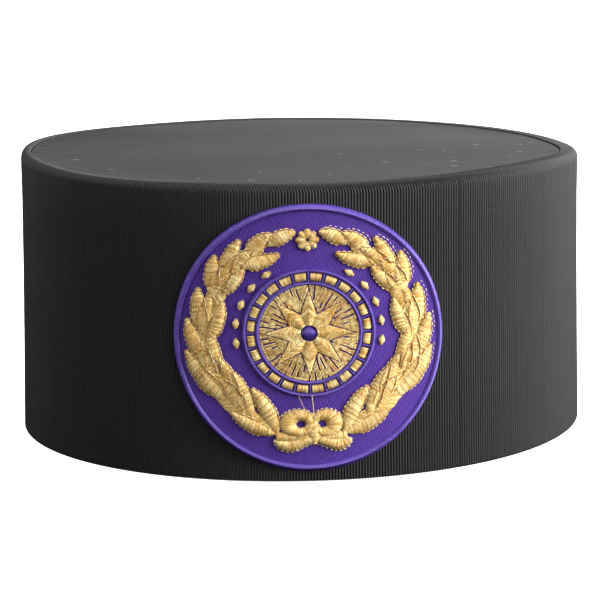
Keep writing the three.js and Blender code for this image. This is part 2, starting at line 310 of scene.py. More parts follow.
def set_on_lean(piece):
    """Sway the crown to the right, lift its left and lower its right, more so the higher a point is."""
    places = read_points(piece)
    places[:, 0] += crown_sway * places[:, 2] / crown_height
    places[:, 2] *= 1 - crown_lean * places[:, 0] / (crown_radius * crown_height)
    move_points(piece, places)


edge_height = crown_height - edge_round
lip_radius = panel_radius + seam_gap
wall_heights = [0.0014, hem_flat, 0.0085, 0.029, wall_middle, 0.058, 0.082]
inside_radius = band_radius(0) - wall_thickness
outside = [(inside_radius, hem_turn), (inside_radius, hem_flat), (inside_radius, hem_round)]
outside += quarter(inside_radius + hem_round, hem_round, hem_round, 180, 270, 3)[1:]
outside += quarter(band_radius(0) - hem_round, hem_round, hem_round, 270, 360, 3)
outside += [(float(band_radius(height)), height) for height in wall_heights]
outside += quarter(band_radius(edge_height) - edge_round, edge_height, edge_round, 0, 90, 6)
outside += quarter(lip_radius + lip_round, crown_height - lip_round, lip_round, 90, 180, 3)
outside += [(lip_radius, seat_height)]
back = [
    (lip_radius + cloth_thickness, seat_height),
    (lip_radius + cloth_thickness, crown_height - 2 * cloth_thickness),
    (crown_radius - edge_round, crown_height - cloth_thickness),
    (crown_radius - cloth_thickness, edge_height),
    (band_radius(wall_middle) - cloth_thickness, wall_middle),
    (band_radius(0) - cloth_thickness, cloth_thickness),
    (inside_radius + cloth_thickness, cloth_thickness),
    (inside_radius + cloth_thickness, hem_turn),
]
rib_angle = 2 * math.pi / rib_count
band = draw_outline("band_cloth", outside + back + outside[:1])
spin_round(steps_per_rib, rib_angle)
outside_rows = np.array(outside)


def depth_behind(places):
    """How far points lie from the outer face as it was drawn, before its ribs were pressed in."""
    radius = np.hypot(places[:, 0], places[:, 1])
    here = np.stack([radius, places[:, 2]], axis=1)
    return np.linalg.norm(here[:, None, :] - outside_rows[None, :, :], axis=2).min(axis=1)


def rib_station(places):
    angle = np.arctan2(places[:, 1], places[:, 0])
    return np.round(np.abs(angle) / rib_angle * steps_per_rib).astype(int)


roll_height = edge_height + edge_roll
rib_zones = [(-1, roll_height, 1), (roll_height, 1, rolled_rib_share)]
for stations, depth in (((0, 4), rib_depth), ((1, 3), groove_shoulder * rib_depth)):
    for low, high, share in rib_zones:
        pick(band, lambda places: (
            (depth_behind(places) < 2 * weld) & np.isin(rib_station(places), stations)
            & (places[:, 2] > low) & (places[:, 2] <= high)
        ))
        bpy.ops.transform.shrink_fatten(value=-depth * share)
bpy.ops.object.mode_set(mode="OBJECT")


def repeat_round(piece, angle, count):
    """Copy a strip round the axis of the cap until it closes on itself."""
    bpy.ops.object.empty_add(rotation=(0, 0, angle))
    turn = bpy.context.object
    choose(piece)
    copies = piece.modifiers.new("copies", "ARRAY")
    copies.count = count
    copies.use_relative_offset = False
    copies.use_object_offset = True
    copies.offset_object = turn
    copies.use_merge_vertices = True
    copies.use_merge_vertices_cap = True
    copies.merge_threshold = 3 * weld
    bpy.ops.object.modifier_apply(modifier=copies.name)
    bpy.data.objects.remove(turn)


# Groove mask: 1 at the bottom of each rib's groove, less on its shoulders and 0 on the crests. The
# material uses it to paint shade into the grooves.
groove_shade_mask = band.data.attributes.new("groove_shade_mask", "FLOAT", "POINT")
places = read_points(band)
depths = np.array([1, groove_shoulder, 0, groove_shoulder, 1])[rib_station(places)]
groove_shade_mask.data.foreach_set("value", depths * (depth_behind(places) < 1.05 * rib_depth))
repeat_round(band, -rib_angle, rib_count)
places = read_points(band)
radius = np.hypot(places[:, 0], places[:, 1])
angle = np.arctan2(places[:, 1], places[:, 0])
rim_flat = crown_radius - edge_round - lip_radius - lip_round
over_edge = np.clip(places[:, 2] - edge_height, 0, None) + np.clip(crown_radius - radius, 0, None)
crossed = np.where(places[:, 2] > edge_height - cloth_thickness, over_edge, 0)
crossed = np.clip(crossed / (2 * edge_round + rim_flat), 0, 1)
angle -= rib_comb * crossed * crossed * (3 - 2 * crossed)
# How far a point lies over the rolled edge. The material lightens the colour there as a painted highlight.
rolled = band.data.attributes.new("rolled", "FLOAT", "POINT")
rolled.data.foreach_set("value", np.clip(2 * crossed, 0, 1))
wander_rng = np.random.default_rng(11)
stops = np.linspace(-math.pi, math.pi, 2 * rib_count)
drift = wander_rng.normal(0, 1, len(stops))
drift[-1] = drift[0]
angle += rib_wander * rib_angle * np.interp(angle, stops, drift)
from_back = np.remainder(angle - math.pi / 2 + math.pi, 2 * math.pi) - math.pi
radius -= back_seam_depth * np.exp(-((from_back * radius / back_seam_width) ** 2))
places[:, 0] = radius * np.cos(angle)
places[:, 1] = radius * np.sin(angle)
off_centre = np.clip((crown_radius - edge_round - radius) / rim_flat, 0, 1)
places[:, 0] += panel_shift * np.where(places[:, 2] > hem_turn, off_centre, 0)
above_seat = np.clip((places[:, 2] - seat_height) / (crown_height - seat_height), 0, 1)
places[:, 2] += rim_rise(places[:, 0], places[:, 1]) * above_seat
move_points(band, places)
set_on_lean(band)


def dress(piece, material, slot, *nodes, crease=180):
    """Give a finished piece its material, the body that it rides on and the nodes that it stands for."""
    choose(piece)
    bpy.ops.object.shade_smooth_by_angle(angle=math.radians(crease))
    piece.data.materials.clear()
    piece.data.materials.append(material)
    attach(piece, "root")
    if nodes:
        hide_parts(*nodes)


grosgrain = Paint("black_grosgrain")
threads = grosgrain.noise((900, 900, 4200))
wear = grosgrain.noise((90, 90, 90))
uneven = grosgrain.noise((500, 500, 90), detail=1.0)
hollow = grosgrain.attribute("groove_shade_mask")
on_rim = grosgrain.attribute("rolled")
black = grosgrain.blend(threads, (0.004, 0.004, 0.0045, 1), (0.01, 0.01, 0.0105, 1))
# Painted highlight: the base colour is lighter over the rolled edge, standing in for the light that the
# rim's crest catches.
rim_painted_highlight = grosgrain.blend(on_rim, black, (0.026, 0.026, 0.027, 1))
dress(band, grosgrain.finish(
    # Painted shade: the base colour goes almost black at the bottom of each groove, where shade falls
    # between the ribs.
    Base_Color=grosgrain.blend(hollow, rim_painted_highlight, (0.001, 0.001, 0.001, 1)),
    Roughness=0.44 + 0.08 * wear + 0.06 * uneven + 0.12 * hollow + 0.12 * on_rim,
    Normal=grosgrain.bump(threads, 0.00012),
    Specular_IOR_Level=0.35,
), "ribbed_cloth", "side_band", crease=62)

# Stiff wall and ledge. A band of black buckram stands inside the ribbed cloth and ends in a narrow
# ledge, to which the top is sewn. It shows only from below.
ledge_overlap = 0.003
ledge_thickness = 0.0018
stiffener_steps = 192
slip = 0.00005
ledge_top = seat_height - slip
ledge_bottom = ledge_top - ledge_thickness
cover = cloth_thickness + slip
stiffener_outline = [
    (inside_radius + cover, 2 * cover),
    (inside_radius + cover, hem_turn + cover),
    (inside_radius, hem_turn + 2 * cover),
    (band_radius(wall_middle) - wall_thickness, wall_middle),
    (band_radius(ledge_bottom) - wall_thickness, ledge_bottom),
    (panel_radius - ledge_overlap, ledge_bottom),
    (panel_radius - ledge_overlap, ledge_top),
    (lip_radius + 2 * cover, ledge_top),
    (crown_radius - edge_round, crown_height - 2 * cover),
    (crown_radius - 2 * cover, edge_height),
    (band_radius(wall_middle) - cover, wall_middle),
    (band_radius(0) - cover, 2 * cover),
]
stiffener = draw_outline("band_stiffener", stiffener_outline + stiffener_outline[:1])
spin_round(stiffener_steps)
set_on_lean(stiffener)
buckram = Paint("black_buckram")
weave = buckram.noise((1400, 1400, 1400), detail=2.0)
dress(stiffener, buckram.finish(
    Base_Color=buckram.blend(weave, (0.006, 0.006, 0.006, 1), (0.02, 0.02, 0.021, 1)),
    Roughness=0.85,
    Normal=buckram.bump(weave, 0.0002),
), "ribbed_cloth")

# Flat top. A disc of the same ribbed cloth, with its ribs from side to side, drawn over a stiff board
# and folded down at its edge into the seam. The cloth isn't quite flat and puckers a little at the seam.
top_rib = 0.00098
top_rib_count = 194
top_depth = 0.00012
top_edge = 0.0004
sheet_parts = 24
disc_sides = 256
cutter_depth = 0.02
fold_steps = 360
top_waves = [(0.00016, 34, 12, 0.6), (0.00012, -22, 75, 2.0), (0.00008, 130, 40, 0)]
taut_share = 0.86
pucker_middle = -0.75
pucker_reach = 0.5
pucker_depth = 0.0003
pucker_waves = (46, 17)
seam_ripple = 0.00005
ripple_waves = 61
drawn_up_share = 0.7
top_height = crown_height - panel_drop
top_disc_radius = panel_radius - top_edge


def ribbed_sheet(name, length, rib, count, depth, thickness):
    """A slab of ribs side by side: one rib is shaped and copied along Y. Its back lies at z = 0."""
    deselect()
    bpy.ops.mesh.primitive_grid_add(x_subdivisions=sheet_parts, y_subdivisions=4, size=1)
    sheet = bpy.context.object
    sheet.name = name
    bpy.ops.object.mode_set(mode="EDIT")
    bpy.ops.transform.resize(value=(length, rib, 1))
    bpy.ops.transform.translate(value=(0, 0, thickness))
    for station, drop in ((0.5, depth), (0.25, groove_shoulder * depth)):
        pick(sheet, lambda places: np.abs(np.abs(places[:, 1]) - station * rib) < 0.01 * rib)
        bpy.ops.transform.translate(value=(0, 0, -drop))
    bpy.ops.object.mode_set(mode="OBJECT")
    copies = sheet.modifiers.new("copies", "ARRAY")
    copies.count = count
    copies.use_relative_offset = False
    copies.use_constant_offset = True
    copies.constant_offset_displace = (0, rib, 0)
    copies.use_merge_vertices = True
    copies.merge_threshold = 0.01 * rib
    bpy.ops.object.modifier_apply(modifier=copies.name)
    bpy.ops.object.mode_set(mode="EDIT")
    bpy.ops.mesh.select_all(action="SELECT")
    bpy.ops.transform.translate(value=(0, -rib * (count - 1) / 2, 0))
    bpy.ops.mesh.extrude_region_move(TRANSFORM_OT_translate={"value": (0, 0, -thickness)})
    bpy.ops.mesh.select_all(action="SELECT")
    bpy.ops.mesh.normals_make_consistent(inside=False)
    bpy.ops.object.mode_set(mode="OBJECT")
    return sheet


def cut_round(sheet, radius):
    """Cut a disc out of a sheet."""
    deselect()
    bpy.ops.mesh.primitive_cylinder_add(vertices=disc_sides, radius=radius, depth=cutter_depth)
    cutter = bpy.context.object
    choose(sheet)
    cut = sheet.modifiers.new("disc", "BOOLEAN")
    cut.operation = "INTERSECT"
    cut.object = cutter
    cut.solver = "EXACT"
    bpy.ops.object.modifier_apply(modifier=cut.name)
    bpy.data.objects.remove(cutter)


def settle(piece):
    """Let the top's cloth rise and sink a little, pucker towards its seam, and sit in the rim."""
    places = read_points(piece)
    x, y = places[:, 0], places[:, 1]
    radius = np.hypot(x, y)
    angle = np.arctan2(y, x)
    rise = sum(size * np.sin(to_x * x + to_y * y + start) for size, to_x, to_y, start in top_waves)
    near_seam = np.clip((radius / panel_radius - taut_share) / (1 - taut_share), 0, 1) ** 2
    off = np.remainder(angle - pucker_middle + math.pi, 2 * math.pi) - math.pi
    drawn = pucker_depth * np.exp(-(off / pucker_reach) ** 2)
    pucker = drawn * np.sin(pucker_waves[0] * angle) * np.sin(pucker_waves[1] * angle)
    pucker += seam_ripple * np.sin(ripple_waves * angle)
    surface = np.clip(1 + places[:, 2] / panel_thickness, 0, 1)
    drawn_up = drawn_up_share * rim_rise(x, y) * surface
    places[:, 2] += top_height + rise * (1 - near_seam) + (pucker + drawn_up) * near_seam
    places[:, 0] += panel_shift
    move_points(piece, places)
    set_on_lean(piece)


top = ribbed_sheet("top_cloth", 2.05 * panel_radius, top_rib, top_rib_count, top_depth, panel_thickness)
cut_round(top, top_disc_radius)
places = read_points(top)
places[:, 2] -= panel_thickness
move_points(top, places)
settle(top)

fold = draw_outline("top_fold", [
    (top_disc_radius, -panel_thickness),
    (panel_radius, -panel_thickness),
    *quarter(top_disc_radius, -top_edge, top_edge, 0, 90, 6),
    (top_disc_radius, -panel_thickness),
])
spin_round(fold_steps)
settle(fold)

top_cloth = Paint("black_top_cloth")
streaks = top_cloth.noise((12, 420, 12))
clouds = top_cloth.noise((16, 48, 16), detail=5.0)
fibres = top_cloth.noise((4200, 900, 900))
top_black = top_cloth.blend(2.5 * clouds - 0.75, (0.003, 0.003, 0.0035, 1), (0.022, 0.022, 0.023, 1))
top_finish = top_cloth.finish(
    Base_Color=top_black,
    Roughness=0.36 + 0.16 * streaks + 0.4 * clouds,
    Normal=top_cloth.bump(fibres, 0.00008),
    Specular_IOR_Level=0.5,
)
dress(top, top_finish, "top_cloth", "top_panel", crease=28)
dress(fold, top_finish, "top_cloth", "top_panel", crease=60)

# Lint. A few pale fibres cling to the top, most of them on its front half. Each is a thin, slightly
# curled thread that lies just on the cloth.
lint_count = 26
lint_thickness = 0.00016
lint_clearance = 0.0003
lint_bearing = (-math.pi, 0.4)
lint_reach = 0.93 * panel_radius
lint_spread = (0.05, 1)
lint_heading = 0.6
lint_length = (0.0006, 0.0028)
lint_curl = 0.0004


def draw_threads(name, lines, thickness, end_share=1):
    """Make one mesh of threads, each along a row of places, with ends of a share of its thickness."""
    curve = bpy.data.curves.new(name, "CURVE")
    curve.dimensions = "3D"
    curve.bevel_depth = thickness / 2
    curve.bevel_resolution = 0
    curve.use_fill_caps = True
    for places in lines:
        spline = curve.splines.new("POLY")
        spline.points.add(len(places) - 1)
        spline.points.foreach_set("co", np.c_[places, np.ones(len(places))].ravel())
        taper = np.ones(len(places))
        taper[[0, -1]] = end_share
        spline.points.foreach_set("radius", taper)
    threads = bpy.data.objects.new(name, curve)
    bpy.context.collection.objects.link(threads)
    choose(threads)
    bpy.ops.object.convert(target="MESH")
    return bpy.context.object


lint_rng = np.random.default_rng(5)
lint_shares = np.linspace(-0.5, 0.5, 5)
lint_lines = []
for _ in range(lint_count):
    bearing = lint_rng.uniform(*lint_bearing)
    reach = lint_reach * math.sqrt(lint_rng.uniform(*lint_spread))
    heading = lint_rng.normal(0, lint_heading)
    along = lint_shares * lint_rng.uniform(*lint_length)
    off = lint_rng.normal(0, lint_curl) * (1 - 4 * lint_shares ** 2)
    x = panel_shift + reach * math.cos(bearing) + along * math.cos(heading) - off * math.sin(heading)
    y = reach * math.sin(bearing) + along * math.sin(heading) + off * math.cos(heading)
    lint_lines.append(np.stack([x, y, np.full(5, top_height + lint_clearance)], axis=1))
lint = draw_threads("top_lint", lint_lines, lint_thickness)
set_on_lean(lint)
fluff = Paint("pale_fluff")
dulled = fluff.noise((700, 700, 700))
dress(lint, fluff.finish(
    Base_Color=fluff.blend(dulled, (0.08, 0.08, 0.085, 1), (0.4, 0.4, 0.41, 1)),
    Roughness=0.8,
), "top_cloth")

# Patch ground. A disc of purple twill, whose fine diagonal lines rise to the right. It is stiff, so it
# lies in a flatter curve than the band and stands off it at both sides.
border_low, border_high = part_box("patch_border")
patch_middle = (border_low.z + border_high.z) / 2
patch_radius = (border_high.z - border_low.z) / 2
patch_width = 0.0898
patch_stretch = patch_width / (2 * patch_radius)
patch_bend = crown_radius + 0.021
patch_turn = math.radians(1.75)
patch_clearance = 0.0003
ground_thickness = 0.0012
border_width = 0.0024
border_thickness = 0.002
ground_overlap = 0.0006
ground_radius = patch_radius - border_width + ground_overlap
twill_pitch = 0.00087
twill_depth = 0.00012
twill_slope = math.radians(68)


def lay(across, up, out):
    """Places on the patch, from its middle and out from its back, as places on the front of the band."""
    radius = patch_bend + out
    angle = across * patch_stretch / patch_bend
    stand_off = band_radius(patch_middle + up) + patch_clearance - patch_bend
    x = radius * np.sin(angle)
    y = -(stand_off + radius * np.cos(angle))
    turned_x = x * math.cos(patch_turn) - y * math.sin(patch_turn)
    turned_y = x * math.sin(patch_turn) + y * math.cos(patch_turn)
    return np.stack([turned_x, turned_y, patch_middle + up + 0 * across], axis=-1)


def lay_piece(piece):
    move_points(piece, lay(*read_points(piece).T))


def twist(piece, angle):
    """Turn a flat piece in its own plane."""
    places = read_points(piece)
    across = places[:, 0] * math.cos(angle) - places[:, 1] * math.sin(angle)
    up = places[:, 0] * math.sin(angle) + places[:, 1] * math.cos(angle)
    move_points(piece, np.stack([across, up, places[:, 2]], axis=1))


twill_length = 2.1 * ground_radius
twill_count = int(twill_length / twill_pitch)
ground = ribbed_sheet("patch_twill", twill_length, twill_pitch, twill_count, twill_depth, ground_thickness)
cut_round(ground, ground_radius)
twist(ground, twill_slope)
lay_piece(ground)
twill = Paint("purple_twill")
twill_yarn = twill.noise((2600, 2600, 700), turn=(0, -twill_slope, 0))
purple = twill.blend(twill_yarn, (0.036, 0.0125, 0.145, 1), (0.088, 0.034, 0.3, 1))
dress(ground, twill.finish(
    Base_Color=purple,
    Roughness=0.62 + 0.16 * twill_yarn,
    Normal=twill.bump(twill_yarn, 0.0001),
    Specular_IOR_Level=0.25,
), "purple_twill", "patch_ground", crease=24)

# Merrowed border. A thick purple edging: hundreds of threads wrapped side by side over the rim of the
# patch, each a little aslant.
border_core = 0.0002
border_thread = 0.0006
border_pitch = 0.00045
border_slant = 0.0016
border_wander = 0.0001
border_lift = 0.00003
border_steps = 180
border_section = [
    (0, 0.25), (0.08, 0.5), (0.24, 0.78), (0.38, 0.94), (0.48, 1),
    (0.6, 0.9), (0.78, 0.64), (0.93, 0.38), (1, 0.14),
]
thread_end_share = 0.7
random.seed(7)


def jitter(size):
    return random.uniform(-size, size)


def sew(name, stitches, thickness):
    """Lay a thread along each stitch, a row of places on the patch, and join them in one mesh."""
    lines = [lay(*np.array(stitch).T) for stitch in stitches]
    return draw_threads(name, lines, thickness, thread_end_share)


def around(radius, angle):
    return radius * math.sin(angle), -radius * math.cos(angle)


core_outline = [
    (patch_radius - border_width + border_core, border_core),
    (patch_radius - border_core, border_core),
    (patch_radius - 0.25 * border_width, 0.6 * border_thickness),
    (patch_radius - 0.5 * border_width, 0.82 * border_thickness),
    (patch_radius - 0.75 * border_width, 0.85 * border_thickness),
    (patch_radius - border_width + border_core, 0.5 * border_thickness),
]
core = draw_outline("border_core", core_outline + core_outline[:1])
spin_round(border_steps)
lay_piece(core)

border_count = int(2 * math.pi * patch_radius / border_pitch)
wraps = []
for number in range(border_count):
    start = 2 * math.pi * number / border_count
    wrap = []
    for share, rise in border_section:
        radius = patch_radius - border_width * (1 - share)
        turn = start + (border_slant * (share - 0.5) + jitter(border_wander)) / patch_radius
        height = border_thickness * rise - border_thread / 2 + jitter(border_lift)
        wrap.append((*around(radius, turn), height))
    wraps.append(wrap)
border = sew("border_threads", wraps, border_thread)

purple_thread = Paint("purple_thread")
each = purple_thread.node("ShaderNodeNewGeometry", output="Random Per Island")
purple_finish = purple_thread.finish(
    Base_Color=purple_thread.blend(each, (0.055, 0.026, 0.22, 1), (0.085, 0.043, 0.33, 1)),
    Roughness=0.3 + 0.08 * each,
    Specular_IOR_Level=1.0,
    Specular_Tint=(0.78, 0.68, 1, 1),
)
purple_core = Paint("purple_core")
dress(core, purple_core.finish(
    Base_Color=(0.07, 0.0345, 0.275, 1),
    Roughness=0.34,
    Specular_IOR_Level=1.0,
    Specular_Tint=(0.78, 0.68, 1, 1),
), "purple_thread", "patch_border")
dress(border, purple_finish, "purple_thread", "patch_border")

# Laurel wreath. Two branches of padded leaves in gold satin stitch: threads lie side by side across a
# soft filling, with an amber edging and pale running stitches beside each leaf. The stitches at the rim
# of the right branch were sewn a little out of place.
thread_clearance = 0.0003
stitch_base = ground_thickness + thread_clearance
stitch_steps = (-1, -0.75, -0.3, 0.3, 0.75, 1)
stitch_lift = 0.00002
stitch_wander = 0.07
gold_width = 0.00036
gold_pitch = 0.00032
shortest_half = 0.6 * gold_width
bundle = 3
bundle_lift = 0.00003
arch_power = 2.2
girth_power = 0.6
leaf_relief = 0.00085
leaf_outline = ((0, 0.14, 0.42, 0.75, 1), (0, 0.62, 1, 0.72, 0))
leaf_steps = 13
leaf_bow = 0.06
leaf_bow_out = 0.76
leaf_slant = math.radians(9)
tip_lift = 0.0005
stem_reach = 0.755
fill_reach = 0.738
fill_relief = 0.0006
fill_half = 0.075 * patch_radius
fill_slant = 0.6
fill_degrees = range(20, 158, 3)
fill_outline = ((0, 0.06, 0.2, 0.8, 0.94, 1), (0.3, 0.75, 1, 0.9, 0.6, 0.2))
padding_share = 0.85
padding_drop = 0.0001
padding_sides = 10
pile_pitch = 0.0008
edging_width = 0.0004
edging_pitch = 0.0006
edging_offset = 0.0002
edging_lift = 0.0002
dash_width = 0.00025
dash_length = 0.0009
dash_gap = 0.0006
dash_offset = 0.00042
dash_lift = 0.0001
dash_arch = 0.0002
dash_wander = 0.12
slip_width = 0.00022
slip_reach = 0.8
slipped = np.array((0.0009, 0.0007))

# For each leaf: the angles of its base and tip up the side from the bottom of the patch, in degrees,
# the tip's reach and half the leaf's width, as shares of the patch's radius.
leaves = [
    (19, 47.5, 0.792, 0.05), (18, 50, 0.56, 0.056), (38, 66, 0.72, 0.06), (33, 70, 0.625, 0.05),
    (51, 85, 0.905, 0.066), (44, 80, 0.68, 0.05), (62, 90, 0.775, 0.055), (73, 100.5, 0.9, 0.062),
    (66, 95, 0.74, 0.055), (90, 117, 0.775, 0.055), (92, 116.5, 0.884, 0.062), (87, 115.5, 0.68, 0.052),
    (115, 134, 0.92, 0.056), (113, 138, 0.786, 0.062), (124.5, 147.8, 0.89, 0.052),
    (116, 139.5, 0.7, 0.05), (126, 151, 0.775, 0.05), (144, 162.8, 0.83, 0.056),
    (137, 163.4, 0.67, 0.05), (157, 174.5, 0.807, 0.05),
]


def polar(side, degrees, reach):
    return np.array(around(reach * patch_radius, side * math.radians(degrees)))


def walk(path, pitch):
    """Places at an even pitch along a path, with its direction there and the share that is done."""
    lengths = np.r_[0, np.cumsum(np.linalg.norm(np.diff(path, axis=0), axis=1))]
    count = max(2, int(lengths[-1] / pitch))
    for step in range(count):
        there = (step + 0.5) / count * lengths[-1]
        place, ahead, behind = (
            np.array([np.interp(there + off, lengths, path[:, axis]) for axis in (0, 1)])
            for off in (0, pitch, -pitch)
        )
        yield place, (ahead - behind) / np.linalg.norm(ahead - behind), (step + 0.5) / count


def satin(path, outline, half, relief, slant=0.0, tilt=0.0):
    """Threads across a padded shape, whose half width follows an outline along its path."""
    stitches = []
    for number, (place, along, share) in enumerate(walk(path, gold_pitch)):
        girth = np.interp(share, *outline)
        reach = half * girth
        if number % bundle == 0:
            lift = jitter(bundle_lift)
        if reach < shortest_half:
            continue
        across = np.array([along[1], -along[0]]) + along * math.tan(slant)
        ends = (1 + jitter(stitch_wander), 1 + jitter(stitch_wander))
        rows = []
        for step in stitch_steps:
            spot = place + across * reach * step * ends[step > 0]
            rise = relief * girth ** girth_power * (1 - abs(step) ** arch_power) + tilt * share
            rows.append((*spot, stitch_base + rise + lift + jitter(stitch_lift)))
        stitches.append(rows)
    return stitches


def smooth_path(corners):
    """A smooth line along a few places, made by cutting its corners three times."""
    line = np.array(corners, dtype=float)
    for _ in range(3):
        cuts = [0.75 * line[:-1] + 0.25 * line[1:], 0.25 * line[:-1] + 0.75 * line[1:]]
        line = np.r_[line[:1], np.stack(cuts, axis=1).reshape(-1, 2), line[-1:]]
    return line


def leaf_path(side, base, tip, reach):
    """The middle line of a leaf, from the branch to its tip, bowed a little to its own side."""
    start, end = polar(side, base, stem_reach), polar(side, tip, reach)
    outward = (start + end) / np.linalg.norm(start + end)
    bulge = leaf_bow * np.linalg.norm(end - start) * (1 if reach > leaf_bow_out else -1)
    shares = np.linspace(0, 1, leaf_steps)[:, None]
    return start + (end - start) * shares + outward * bulge * 4 * shares * (1 - shares)


def edge_path(path, outline, half, side, offset):
    """The line that runs beside a padded shape at an offset."""
    places = []
    for place, along, share in walk(path, edging_pitch):
        across = np.array([along[1], -along[0]])
        places.append(place + side * across * (half * np.interp(share, *outline) + offset))
    return np.array(places)


def beside_leaf(form, side, offset):
    """The line beside a leaf, without the quarter at its foot, where the leaves overlap."""
    line = edge_path(*form[:3], side, offset)
    return line[len(line) // 4:]


def running(path, heights):
    """Short stitches along a path with gaps between them, at the heights that a function gives."""
    stitches = []
    for place, along, share in walk(path, dash_length + dash_gap):
        half = along * dash_length * (0.5 + jitter(dash_wander))
        spots = np.array([place - half, place, place + half])
        stitches.append(np.c_[spots, heights(spots) + np.array([0, dash_arch, 0])])
    return stitches


gold = Paint("gold_thread")
strand = gold.node("ShaderNodeNewGeometry", output="Random Per Island")
sparkle = gold.noise((2600, 2600, 2600), detail=2.0)
bundles = gold.noise((800, 800, 800), detail=1.0)
mellow = gold.noise((130, 130, 130), detail=1.0)
tone = 2.2 * sparkle + 0.9 * strand + 0.5 * bundles - 1.3
warm = gold.blend(tone, (0.46, 0.215, 0.022, 1), (0.93, 0.8, 0.39, 1))
gold_finish = gold.finish(
    Base_Color=gold.blend(1.2 * mellow - 0.45, warm, (0.58, 0.3, 0.035, 1)),
    Roughness=0.36 + 0.2 * strand,
    Specular_IOR_Level=0.5,
    Specular_Tint=(0.95, 0.95, 0.85, 1),
    Metallic=0.1,
)
bright_gold = Paint("bright_gold_thread")
fleck = bright_gold.node("ShaderNodeNewGeometry", output="Random Per Island")
bright_finish = bright_gold.finish(
    Base_Color=bright_gold.blend(fleck, (0.84, 0.64, 0.27, 1), (1, 0.92, 0.62, 1)),
    Roughness=0.3 + 0.1 * fleck,
    Metallic=0.2,
)
amber = Paint("amber_thread")
knots = amber.noise((1500, 1500, 1500), detail=1.0)
amber_finish = amber.finish(
    Base_Color=amber.blend(2.5 * knots - 0.75, (0.16, 0.05, 0.012, 1), (0.55, 0.27, 0.04, 1)),
    Roughness=0.35 + 0.1 * knots,
    Specular_IOR_Level=0.6,
)
# The filling under the satin is dark brown. This is painted shade, which shows in the gaps between the
# gold threads.
padding = Paint("gold_padding_painted_shade")
shade = padding.noise((900, 900, 900))
padding_shade_finish = padding.finish(
    Base_Color=padding.blend(shade, (0.12, 0.05, 0.01, 1), (0.3, 0.14, 0.03, 1)),
    Roughness=0.6,
)


def pad(name, forms):
    """Fill each padded form under its threads: a ball pulled to the form's line, width and rise."""
    deselect()
    made = []
    for path, outline, half, relief, tilt in forms:
        bpy.ops.mesh.primitive_uv_sphere_add(segments=padding_sides, ring_count=len(path) - 1, radius=1)
        ball = bpy.context.object
        places = read_points(ball)
        shares = np.arccos(np.clip(-places[:, 2], -1, 1)) / math.pi
        girth = np.interp(shares, *outline)
        line = np.linspace(0, 1, len(path))
        middle = np.stack([np.interp(shares, line, path[:, axis]) for axis in (0, 1)], axis=1)
        along = (path[-1] - path[0]) / np.linalg.norm(path[-1] - path[0])
        ring = np.maximum(np.hypot(places[:, 0], places[:, 1]), 1e-6)
        spread = padding_share * half * girth * places[:, 0] / ring
        flat = middle + np.array([along[1], -along[0]]) * spread[:, None]
        dome = padding_share * relief * girth ** girth_power * np.clip(-places[:, 1] / ring, -0.1, 1)
        move_points(ball, lay(flat[:, 0], flat[:, 1], stitch_base - padding_drop + dome + tilt * shares))
        made.append(ball)
    for ball in made:
        ball.select_set(True)
    bpy.ops.object.join()
    whole = bpy.context.object
    whole.name = name
    bpy.ops.object.transform_apply()
    bpy.ops.object.mode_set(mode="EDIT")
    bpy.ops.mesh.select_all(action="SELECT")
    bpy.ops.mesh.normals_make_consistent(inside=False)
    bpy.ops.object.mode_set(mode="OBJECT")
    return whole


def pile(forms):
    """The function that gives the height of the sewn surface at a place, from the forms under it."""
    knots = []
    for path, outline, half, relief, tilt in forms:
        for place, along, share in walk(path, pile_pitch):
            girth = np.interp(share, *outline)
            knots.append((*place, max(half * girth, 1e-5), relief * girth ** girth_power, tilt * share))
    knots = np.array(knots)

    def heights(spots):
        far = np.linalg.norm(spots[:, None, :] - knots[None, :, :2], axis=2) / knots[:, 2]
        tops = np.where(far < 1, knots[:, 3] * (1 - far ** arch_power) + knots[:, 4], 0)
        return stitch_base + tops.max(axis=1)

    return heights


slips = []
for side, name in ((-1, "left"), (1, "right")):
    node = f"wreath_{name}"
    middle_line = np.array([polar(side, degrees, fill_reach) for degrees in fill_degrees])
    threads = satin(middle_line, fill_outline, fill_half, fill_relief, slant=side * fill_slant)
    forms = []
    for base, tip, reach, half in leaves:
        path = leaf_path(side, base, tip, reach)
        forms.append((path, leaf_outline, half * patch_radius, leaf_relief, tip_lift))
        threads += satin(*forms[-1][:4], slant=-side * leaf_slant, tilt=tip_lift)
    heights = pile(forms)
    dashes, edgings = [], []
    for form, (base, tip, reach, half) in zip(forms, leaves):
        at_rim = reach > slip_reach
        for edge in (-1, 1):
            line = beside_leaf(form, edge, edging_offset)
            edgings.append(np.c_[line, heights(line) + edging_lift])
            if side > 0 and edge > 0 and at_rim:
                slips += running(line + slipped, heights)
            line = beside_leaf(form, edge, dash_offset)
            dashes += running(line, lambda spots: heights(spots) + dash_lift)
    dress(sew(f"{node}_threads", threads, gold_width), gold_finish, "gold_thread", node)
    dress(sew(f"{node}_outline", dashes, dash_width), bright_finish, "gold_thread", node)
    dress(sew(f"{node}_edging", edgings, edging_width), amber_finish, "gold_thread", node)
    dress(pad(f"{node}_padding", forms), padding_shade_finish, "gold_thread", node)
dress(sew("wreath_right_slips", slips, slip_width), bright_finish, "gold_thread", "wreath_right")

